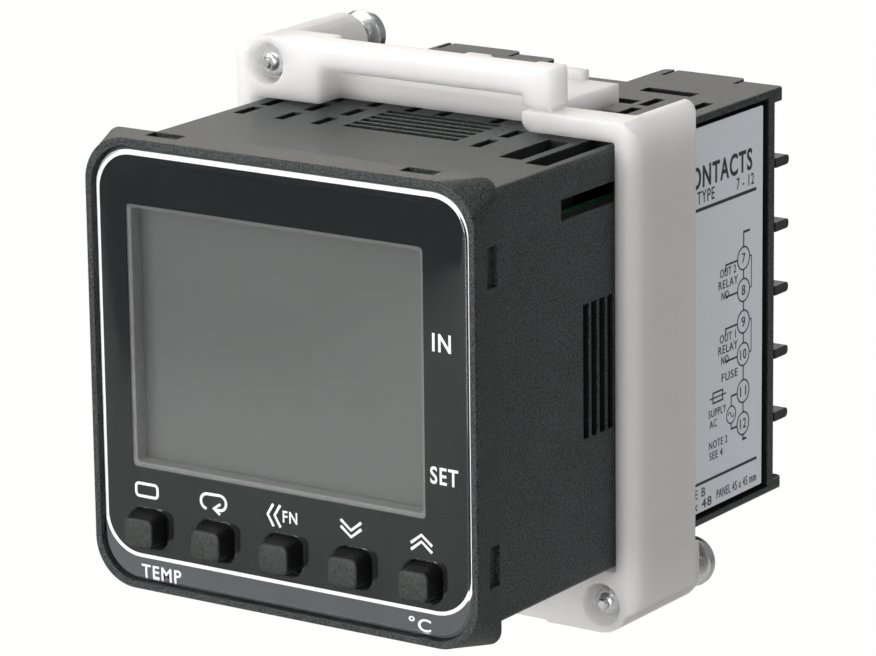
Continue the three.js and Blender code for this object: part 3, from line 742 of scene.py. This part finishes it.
def front_lettering():
    """Generic words and a unit, in place of the printed names."""
    words = [
        ("IN", 18.35, 20.55, 6.6, 8.45),
        ("SET", 17.95, 21.25, -7.0, -5.2),
        ("FN", -0.2, 1.6, -13.95, -12.7),
        ("\u00b0C", 15.1, 17.8, -22.6, -21.2),
        ("TEMP", -18.4, -13.3, -22.65, -21.3),
    ]
    printed("front_words", words, on_front, WHITE_INK, 0.015)


def window_frame():
    """The light grey surround inside the display window, with a soft lip."""
    low, high = node_box("window_frame")
    outer = [window_ring(0.8, y) for y in (low.y, high.y)]
    lip = [(-0.38, low.y), (-0.46, low.y + 0.04), (-0.5, low.y + 0.12), (-0.5, high.y)]
    surround = as_object("window_surround", tube(outer, [window_ring(margin, y) for margin, y in lip]))
    show(surround, FRAME_GREY, replaces=["window_frame"])


def display():
    """The display glass with its edge chamfer, and the pale light guide behind it."""
    low, high = node_box("lcd_panel")
    profile = [(0.63, low.y), (0.75, low.y + 0.12), (0.75, high.y)]
    glass = as_object("display_glass", loft([window_ring(margin, y) for margin, y in profile]))
    show(glass, DISPLAY, replaces=["lcd_panel"])
    low, high = node_box("backlight_block")
    profile = [(0.55, low.y), (0.75, low.y + 0.2), (0.75, high.y - 0.2), (0.55, high.y)]
    guide = as_object("light_guide", loft([window_ring(margin, y) for margin, y in profile]))
    show(guide, LIGHT_GUIDE, replaces=["backlight_block"])


def key_cap(name):
    """A rubber key: crowned cap, straight root, retaining flange and the stem behind it."""
    low, high = node_box(name)
    x = (low.x + high.x) / 2
    cap_z = KEY_Z + 0.02
    front = low.y
    rings = []
    for inset, depth in ((1.2, 0.0), (0.62, 0.04), (0.30, 0.09), (0.14, 0.16), (0.05, 0.25), (0.0, 0.38)):
        radius = max(0.75 - inset * 0.5, 0.25)
        rings.append(ring(x, cap_z, 1.85 - inset * 0.8, 1.575 - inset, radius, front + depth, 8))
    for share in (0.5, 1.0):
        z = cap_z + 0.1 * share
        rings.append(ring(x, z, 1.85 + 0.1 * share, 1.575 + 0.175 * share, 0.9, front + 0.5 + 1.6 * share, 8))
    rings.append(ring(x, KEY_Z, 1.95, 1.75, 0.9, -1.35, 8))
    for half_w, half_h, y in ((2.75, 2.45, -1.2), (2.9, 2.6, -1.1), (2.9, 2.6, -0.4), (2.8, 2.5, -0.3)):
        rings.append(ring(x, KEY_Z, half_w, half_h, 0.9, y, 8))
    for half, y in ((1.1, -0.28), (1.0, -0.1), (0.95, high.y - 0.12), (0.8, high.y)):
        rings.append(ring(x, KEY_Z, half, half, 0.25, y, 8))
    cap = as_object(f"{name}_cap", loft(rings))
    show(cap, KEY_RUBBER_SHADED_SIDES, body=f"{name}_body", replaces=[name], sharp=60)


# ---------------------------------------------------------------- case and rear


def case_shell():
    """The tube housing, with every moulded edge slightly broken."""
    shell = soften(cad_copy("case_shell", "case"), 0.10, 2, 40)
    show(shell, CASE_PLASTIC_SHADED_INSIDE, replaces=["case"])


def port_fingers():
    """The contact fingers that reach into the setting-tool port from its socket."""
    low, high = node_box("tool_port_socket")
    parts = []
    for y in (low.y + 0.8, high.y - 2.8):
        parts.append(box((low.x + 2.6, y, 19.9), (high.x - 1.4, y + 1.5, 20.2)))
        parts.append(box((low.x + 2.6, y + 0.3, high.z - 0.5), (low.x + 2.9, y + 1.2, 20.0)))
    fingers = as_object("port_fingers", merged(parts))
    soften(fingers, 0.1, 2)
    show(fingers, ZINC)


def terminal_body():
    """The rear block with its barriers, edges broken."""
    block = soften(cad_copy("terminal_body", "terminal_block"), 0.10, 2, 40)
    show(block, BLOCK, replaces=["terminal_block"])


def contact_plate(number):
    """A plated terminal strip: raised wire guides at its ends and a bored middle."""
    node = f"contact_plate_{number}"
    plate = soften(cad_copy(f"terminal_strip_{number}", node), 0.12, 2, 40)
    show(plate, BRASS, replaces=[node])


def cross_recess(width, depth, y, reach):
    """Cutters for a cross-headed drive, tapering in from the plane y."""
    wide, narrow = reach, reach * 0.45
    half = width / 2
    cutters = []
    for along_x in (True, False):
        rows = []
        for length, thick, level in ((wide, half, y + 0.5), (wide, half, y), (narrow, half * 0.6, y - depth)):
            w, h = (length, thick) if along_x else (thick, length)
            rows.append(ring(0, 0, w, h, min(w, h) * 0.5, level, 3))
        cutters.append(loft(rows))
    return cutters


def threads(radius, y0, y1, pitch, depth):
    """Profile points of a run of rounded thread crests from y0 up to y1."""
    root = radius - depth
    crest = [(root, 0), (root, 0.15), (radius, 0.48), (radius, 0.6), (root, 0.93)]
    count = int((y1 - y0) / pitch)
    return [(reach, y0 + i * pitch + share * pitch) for i in range(count) for reach, share in crest]


def terminal_screw_head():
    """A terminal screw about its own axis, its washer's front face at y 0."""
    seat = 0.8
    head = [(0, seat - 0.25), (1.95, seat - 0.25), (2.1, seat), (2.1, seat + 1.15), (1.98, seat + 1.5),
            (1.7, seat + 1.72), (1.2, seat + 1.86), (0.6, seat + 1.9), (0, seat + 1.9)]
    turned = as_object("screw_head", lathe(head))
    carve(turned, cross_recess(0.62, 1.3, seat + 1.9, 1.3))
    shank = [(0, -5.2), (0.9, -5.2), *threads(1.35, -4.95, 0.3, 0.5, 0.22), (1.1, 0.35), (0, 0.35)]
    bm = bmesh.new()
    bm.from_mesh(turned.data)
    bpy.data.objects.remove(turned)
    return as_object("head_pattern", merged([bm, lathe(shank, 32)]))


def terminal_screws():
    """Twelve screws, each turned as it happened to be tightened, over square clamp washers."""
    draw = random.Random(11)
    pattern = terminal_screw_head()
    for number in TERMINALS:
        node = f"terminal_screw_{number}"
        low, high = node_box(node)
        head = bmesh.new()
        head.from_mesh(pattern.data)
        bmesh.ops.rotate(head, matrix=Matrix.Rotation(draw.uniform(0, math.pi), 3, "Y"), verts=head.verts)
        washer = loft([ring(0, 0, h, h, r, y, 6) for h, r, y in
                       ((1.9, 0.5, 0.0), (2.1, 0.6, 0.18), (2.1, 0.6, 0.62), (1.98, 0.55, 0.8))])
        piece = as_object(f"clamp_{node}", merged([head, washer]))
        piece.data.transform(Matrix.Translation(((low.x + high.x) / 2, high.y - 2.7, (low.z + high.z) / 2)))
        show(piece, ZINC, body=f"{node}_body", replaces=[node])
    bpy.data.objects.remove(pattern)


# ---------------------------------------------------------------- side label


LABEL_LOW, LABEL_HIGH = node_box("side_label")
LABEL_FACE = LABEL_HIGH.x


def on_label(across, upward, out):
    """Label coordinates run back along y and up along z."""
    return Vector((LABEL_FACE + 0.016 + out, across, upward))


def label_marks(name, outlines):
    """Dark print on the label from (y, z) outlines."""
    faces = (LABEL_FACE - 0.01, LABEL_FACE + 0.02)
    parts = [loft([[Vector((x, y, z)) for y, z in outline] for x in faces]) for outline in outlines]
    show(as_object(name, merged(parts)), DARK_INK)


def bar(y0, y1, z0, z1):
    """A rectangle of the label."""
    return [(y0, z0), (y1, z0), (y1, z1), (y0, z1)]


def circle_band(y, z, radius, width):
    return band(arc(y, z, radius, 0, 360, 24), width)


LABEL_WORDS = [
    ("CONTACTS", 37.4, 51.8, 14.6, 17.0),
    ("SCREW TYPE", 34.6, 44.0, 12.95, 14.3),
    ("7 - 12", 48.6, 52.2, 12.95, 14.2),
    ("OUT 2", 45.2, 48.5, 4.0, 4.9),
    ("RELAY", 44.9, 48.9, 2.75, 3.65),
    ("NO", 45.5, 47.0, 1.5, 2.4),
    ("OUT 1", 45.2, 48.5, -3.2, -2.3),
    ("RELAY", 44.9, 48.9, -4.4, -3.5),
    ("NO", 45.5, 47.0, -5.6, -4.7),
    ("FUSE", 45.6, 48.9, -7.5, -6.6),
    ("SUPPLY", 42.9, 46.5, -10.9, -10.05),
    ("AC", 43.1, 44.6, -12.1, -11.25),
    ("NOTE 2", 43.0, 46.8, -14.4, -13.55),
    ("SEE 4", 43.1, 45.8, -15.6, -14.75),
    ("SIDE B", 37.4, 42.2, -19.2, -18.2),
    ("48 x 48", 36.8, 43.5, -20.5, -19.5),
    ("PANEL 45 x 45 mm", 44.6, 52.9, -20.2, -19.2),
]


def side_label():
    """The film on the +X side, with rules, a terminal diagram and generic words."""
    front, back = LABEL_LOW.y, LABEL_HIGH.y
    cy, cz = (front + back) / 2, (LABEL_LOW.z + LABEL_HIGH.z) / 2
    half_y, half_z = (back - front) / 2, (LABEL_HIGH.z - LABEL_LOW.z) / 2
    rows = []
    for inset, x in ((0.0, LABEL_LOW.x), (0.0, LABEL_FACE - 0.03), (0.03, LABEL_FACE)):
        rows.append([Vector((x, y, z)) for y, z in rounded(cy, cz, half_y - inset, half_z - inset, 0.2, 6)])
    show(as_object("label_film", loft(rows)), FILM, replaces=["side_label"])
    rules = [bar(31, 52.7, 12.15, 12.5), bar(31, 53.0, -17.8, -17.5), bar(38, 39.9, 8.7, 8.95)]
    label_marks("label_rules", rules)
    printed("label_heading", LABEL_WORDS[:1], on_label, DARK_INK, 0.02)
    printed("label_words", LABEL_WORDS[1:], on_label, DARK_INK)
    terminal_diagram()


def terminal_diagram():
    """Six numbered terminals joined top to bottom, with their contact brackets."""
    column = 50.1
    heights = [5.2, 1.7, -1.8, -5.4, -9.5, -13.1]
    outlines = [circle_band(column, z, 1.25, 0.16) for z in heights]
    for upper, lower in zip(heights, heights[1:]):
        outlines.append(bar(column - 0.09, column + 0.09, lower + 1.25, upper - 1.25))
    outlines.append(bar(column - 0.1, column + 0.1, 6.4, 8.1))
    outlines.append(bar(column - 0.1, column + 1.3, 7.95, 8.2))
    outlines.append(bar(column - 0.1, column + 0.7, -15.0, -14.75))
    outlines.append(bar(column - 0.1, column + 0.1, -15.0, -14.3))
    for upper, lower in ((5.2, 1.7), (-1.8, -5.4)):
        outlines += [bar(46.4, 48.85, upper - 0.1, upper + 0.1), bar(46.4, 48.85, lower - 0.1, lower + 0.1)]
        outlines += [bar(46.3, 46.5, upper - 0.75, upper + 0.1), bar(46.3, 46.5, lower - 0.1, lower + 0.4)]
        outlines += [bar(51.7, 51.82, lower, upper), bar(51.3, 51.82, upper - 0.06, upper + 0.06)]
        outlines += [bar(51.3, 51.82, lower - 0.06, lower + 0.06)]
    outlines += [circle_band(47.6, -11.55, 0.95, 0.14), band(arc(47.3, -11.55, 0.3, 180, 0, 6), 0.12)]
    outlines += [band(arc(47.9, -11.55, 0.3, 180, 360, 6), 0.12)]
    outlines += [bar(47.52, 47.68, -10.6, -9.5), bar(47.52, 48.85, -9.6, -9.4)]
    outlines += [bar(47.52, 47.68, -13.2, -12.5), bar(47.52, 48.85, -13.25, -13.05)]
    outlines += [bar(43.7, 45.9, -9.5, -9.32), bar(43.7, 45.9, -8.4, -8.22)]
    outlines += [bar(43.7, 43.88, -9.5, -8.22), bar(45.72, 45.9, -9.5, -8.22), bar(43.1, 46.5, -8.93, -8.79)]
    label_marks("label_diagram", outlines)
    numbers = []
    for number, z in zip(range(7, 13), heights):
        reach = 0.36 if number < 10 else 0.62
        numbers.append((str(number), column - reach, column + reach, z - 0.55, z + 0.55))
    printed("terminal_numbers", numbers, on_label, DARK_INK)


# ---------------------------------------------------------------- boards and components


def softened_nodes():
    """Inner parts whose CAD shape is right: the same shape with broken edges and a real finish."""
    finishes = {
        "display_board": (LAMINATE_SHADED, "circuit_board"),
        "power_board": (LAMINATE_SHADED, "circuit_board"),
        "control_board": (LAMINATE_SHADED, "circuit_board"),
        "microcontroller": (COMPONENT_BLACK, "chip_black"),
        "board_connector": (COMPONENT_BLACK, "chip_black"),
        "tool_port_socket": (COMPONENT_BLACK, "chip_black"),
        "relay_1": (RELAY_BLUE, "relay_blue"),
        "relay_2": (RELAY_BLUE, "relay_blue"),
        **{f"tact_switch_{i}": (SWITCH_BODY, "switch_body") for i in range(1, 6)},
    }
    for node, (material, slot) in finishes.items():
        width = 0.08 if "board" in node or "tact" in node else 0.3
        piece = soften(cad_copy(f"{node}_body" if "board" not in node else f"{node}_panel", node), width, 2, 40)
        show(piece, material, replaces=[node])


def chip_legs():
    """Gull-wing legs along the microcontroller's two long edges and the connector's pins."""
    low, high = node_box("microcontroller")
    parts = []
    for i in range(12):
        y = low.y + 0.7 + i * (high.y - low.y - 1.4) / 11
        for edge, out in ((low.z, -0.8), (high.z, 0.8)):
            z0, z1 = sorted((edge, edge + out))
            parts.append(box((low.x + 0.02, y - 0.14, z0), (low.x + 0.3, y + 0.14, z1)))
    show(soften(as_object("chip_legs", merged(parts)), 0.05, 1), ZINC)
    low, high = node_box("board_connector")
    pins = []
    for i in range(9):
        z = low.z + 1.6 + i * (high.z - low.z - 3.2) / 8
        pins.append(box((high.x - 1.2, low.y - 1.4, z - 0.25), (high.x - 0.7, high.y + 1.2, z + 0.25)))
    show(soften(as_object("connector_pins", merged(pins)), 0.06, 1), BRASS)


def transformer():
    """Taped core stack with its winding showing above and below."""
    low, high = node_box("transformer")
    core = [(low.x + 0.1, low.y, low.z + 1.1), (high.x, high.y, high.z - 1.1)]
    stack = soften(as_object("transformer_core", box(*core)), 0.5, 3)
    show(stack, TAPE_YELLOW, replaces=["transformer"])
    coil = box((low.x, low.y + 4.5, low.z), (high.x - 10.4, high.y - 4.5, high.z))
    show(soften(as_object("transformer_winding", coil), 0.35, 3), WIRE)


def capacitor():
    """Electrolytic can: rolled groove, sleeve edge and a slightly sunk end."""
    low, high = node_box("main_capacitor")
    radius = (high.x - low.x) / 2
    length = high.y - low.y
    end, groove, lip = length - 0.12, radius * 0.93, radius * 0.97
    profile = [(0, 0), (radius * 0.8, 0), (radius * 0.86, 0.12), (lip, 0.35), (radius, 0.8), (radius, 1.5),
               (groove, 1.85), (groove, 2.1), (radius, 2.45), (radius, length - 0.7), (lip, length - 0.25),
               (radius * 0.88, length), (radius * 0.82, end), (0, end)]
    can = as_object("capacitor_can", lathe(profile, 40))
    can.data.transform(Matrix.Translation(((low.x + high.x) / 2, low.y, (low.z + high.z) / 2)))
    show(can, SLEEVE, replaces=["main_capacitor"])


# ---------------------------------------------------------------- mounting adapter


def adapter_ring():
    """The moulded ring: the CAD shape remeshed finely, so that every edge is softly rounded."""
    ring_piece = cad_copy("adapter_ring", "adapter")
    remesh = ring_piece.modifiers.new("fine", "REMESH")
    remesh.mode = "VOXEL"
    remesh.voxel_size = 0.15
    applied(ring_piece)
    smooth = ring_piece.modifiers.new("round", "SMOOTH")
    smooth.factor = 0.5
    smooth.iterations = 2
    applied(ring_piece)
    show(ring_piece, MILK, body="adapter_body", replaces=["adapter"], sharp=180)


def clamp_screw(name, node, body, turned):
    """A long pan-head clamp screw with rolled threads and a dog point."""
    low, high = node_box(node)
    length = high.y - low.y
    head = length - 2.2
    profile = [(0, 0), (0.42, 0), (0.62, 0.14), (0.68, 0.5), (1.05, 0.62), (1.38, 1.0)]
    profile += threads(1.5, 1.05, head - 0.4, 0.6, 0.2)
    profile += [(1.4, head - 0.1), (1.6, head), (2.5, head), (2.74, head + 0.14), (2.8, head + 0.5),
                (2.76, head + 0.95), (2.58, head + 1.4), (2.2, head + 1.78), (1.6, head + 2.05),
                (0.8, head + 2.18), (0, head + 2.2)]
    screw = as_object(name, lathe(profile))
    carve(screw, cross_recess(0.8, 1.7, length, 1.6))
    place = Matrix.Translation(((low.x + high.x) / 2, low.y, (low.z + high.z) / 2))
    screw.data.transform(place @ Matrix.Rotation(math.radians(turned), 4, "Y"))
    show(screw, ZINC, body=body, replaces=[node])


# ---------------------------------------------------------------- studio


AIM = Vector((0, 0.02, 0))  # the point every lamp faces, in metres


def softbox(name, place, size, radiance, colour=(1, 1, 1), turn=0):
    """A rectangular lamp of an even radiance, where 1 is the brightness of the white background."""
    lamp = bpy.data.lights.new(name, "AREA")
    lamp.shape = "RECTANGLE"
    lamp.size, lamp.size_y = size
    lamp.energy = radiance * math.pi * size[0] * size[1]
    lamp.color = colour
    holder = bpy.data.objects.new(name, lamp)
    holder.location = place
    bpy.context.scene.collection.objects.link(holder)
    facing = (AIM - holder.location).to_track_quat("-Z", "Y")
    holder.rotation_mode = "QUATERNION"
    holder.rotation_quaternion = facing @ Quaternion((0, 0, 1), math.radians(turn))
    holder.visible_camera = False


def floor():
    """A wide pale floor well below the object. It is seen only from above."""
    bm = bmesh.new()
    bmesh.ops.create_grid(bm, x_segments=8, y_segments=8, size=4.0)
    bmesh.ops.translate(bm, vec=Vector((0, 0, -0.13)), verts=bm.verts)
    plane = as_object("studio_floor", bm)
    material = bpy.data.materials.new("pale_floor")
    material.use_nodes = True
    tree = material.node_tree
    shader = tree.nodes["Principled BSDF"]
    shader.inputs["Base Color"].default_value = (0.62, 0.62, 0.61, 1)
    shader.inputs["Roughness"].default_value = 0.9
    white = tree.nodes.new("ShaderNodeEmission")
    white.inputs["Color"].default_value = (1.0, 1.0, 0.99, 1)
    white.inputs["Strength"].default_value = 1.0
    clear = tree.nodes.new("ShaderNodeBsdfTransparent")
    path = tree.nodes.new("ShaderNodeLightPath")
    facing = tree.nodes.new("ShaderNodeNewGeometry")
    seen = tree.nodes.new("ShaderNodeMixShader")
    side = tree.nodes.new("ShaderNodeMixShader")
    tree.links.new(path.outputs["Is Camera Ray"], seen.inputs["Fac"])
    tree.links.new(shader.outputs["BSDF"], seen.inputs[1])
    tree.links.new(white.outputs["Emission"], seen.inputs[2])
    tree.links.new(facing.outputs["Backfacing"], side.inputs["Fac"])
    tree.links.new(seen.outputs["Shader"], side.inputs[1])
    tree.links.new(clear.outputs["BSDF"], side.inputs[2])
    tree.links.new(side.outputs["Shader"], tree.nodes["Material Output"].inputs["Surface"])
    plane.data.materials.append(material)


def surroundings():
    """Even dim light from all round, with a white backdrop for the camera."""
    world = bpy.data.worlds.new("studio")
    world.use_nodes = True
    bpy.context.scene.world = world
    tree = world.node_tree
    ambient = tree.nodes["Background"]
    ambient.inputs["Color"].default_value = (0.97, 0.99, 1.0, 1)
    ambient.inputs["Strength"].default_value = 0.29
    backdrop = tree.nodes.new("ShaderNodeBackground")
    backdrop.inputs["Color"].default_value = (1.0, 1.0, 0.99, 1)
    path = tree.nodes.new("ShaderNodeLightPath")
    mix = tree.nodes.new("ShaderNodeMixShader")
    tree.links.new(path.outputs["Is Camera Ray"], mix.inputs["Fac"])
    tree.links.new(ambient.outputs["Background"], mix.inputs[1])
    tree.links.new(backdrop.outputs["Background"], mix.inputs[2])
    tree.links.new(mix.outputs["Shader"], tree.nodes["World Output"].inputs["Surface"])


def lights():
    """Soft boxes, placed and sized in metres."""
    softbox("overhead", (-0.02, -0.19, 0.36), (0.54, 0.13), 3.2, (1.0, 0.975, 0.955), -20)
    softbox("top", (0.12, 0.17, 0.40), (0.30, 0.20), 1.7, (1.0, 0.97, 0.92))
    softbox("key", (-0.34, -0.56, 0.30), (0.36, 0.30), 7.6)
    softbox("fill", (0.02, -0.85, 0.0), (0.50, 0.36), 6.5)
    softbox("edge", (0.36, -0.245, -0.085), (0.05, 0.07), 2.5)
    softbox("rear", (-0.62, 0.62, 0.42), (0.90, 0.56), 1.5, (1.0, 0.94, 0.86))


def camera():
    """The photograph's viewing angle: a long lens from the right, above the front."""
    focal_pixels, image_width = 4901.7, 876
    azimuth, elevation, roll = math.radians(34.1086), math.radians(14.6779), math.radians(-0.7063)
    ahead = Vector((-math.sin(azimuth) * math.cos(elevation), math.cos(azimuth) * math.cos(elevation),
                    -math.sin(elevation)))
    lens = bpy.data.cameras.new("camera")
    lens.sensor_width = 36
    lens.lens = focal_pixels / image_width * lens.sensor_width
    lens.clip_start, lens.clip_end = 0.01, 20
    holder = bpy.data.objects.new("camera", lens)
    holder.location = Vector((279.94, -388.606, 130.896)) * MM
    level = ahead.to_track_quat("-Z", "Y").to_matrix()
    holder.rotation_euler = (level @ Matrix.Rotation(roll, 3, "Z")).to_euler()
    bpy.context.scene.collection.objects.link(holder)
    bpy.context.scene.camera = holder


# ---------------------------------------------------------------- the whole scene

camera()
surroundings()
lights()
floor()

bezel_shell()
lens_cover()
front_print()
key_marks()
front_lettering()
window_frame()
display()
for key in KEYS:
    key_cap(key)

case_shell()
port_fingers()
side_label()
terminal_body()
for terminal in TERMINALS:
    contact_plate(terminal)
terminal_screws()

softened_nodes()
chip_legs()
transformer()
capacitor()

adapter_ring()
clamp_screw("upper_screw", "clamp_screw_upper", "clamp_upper_body", 20)
clamp_screw("lower_screw", "clamp_screw_lower", "clamp_lower_body", 65)

bpy.context.scene.view_settings.view_transform = "Standard"

bpy.context.view_layer.update()
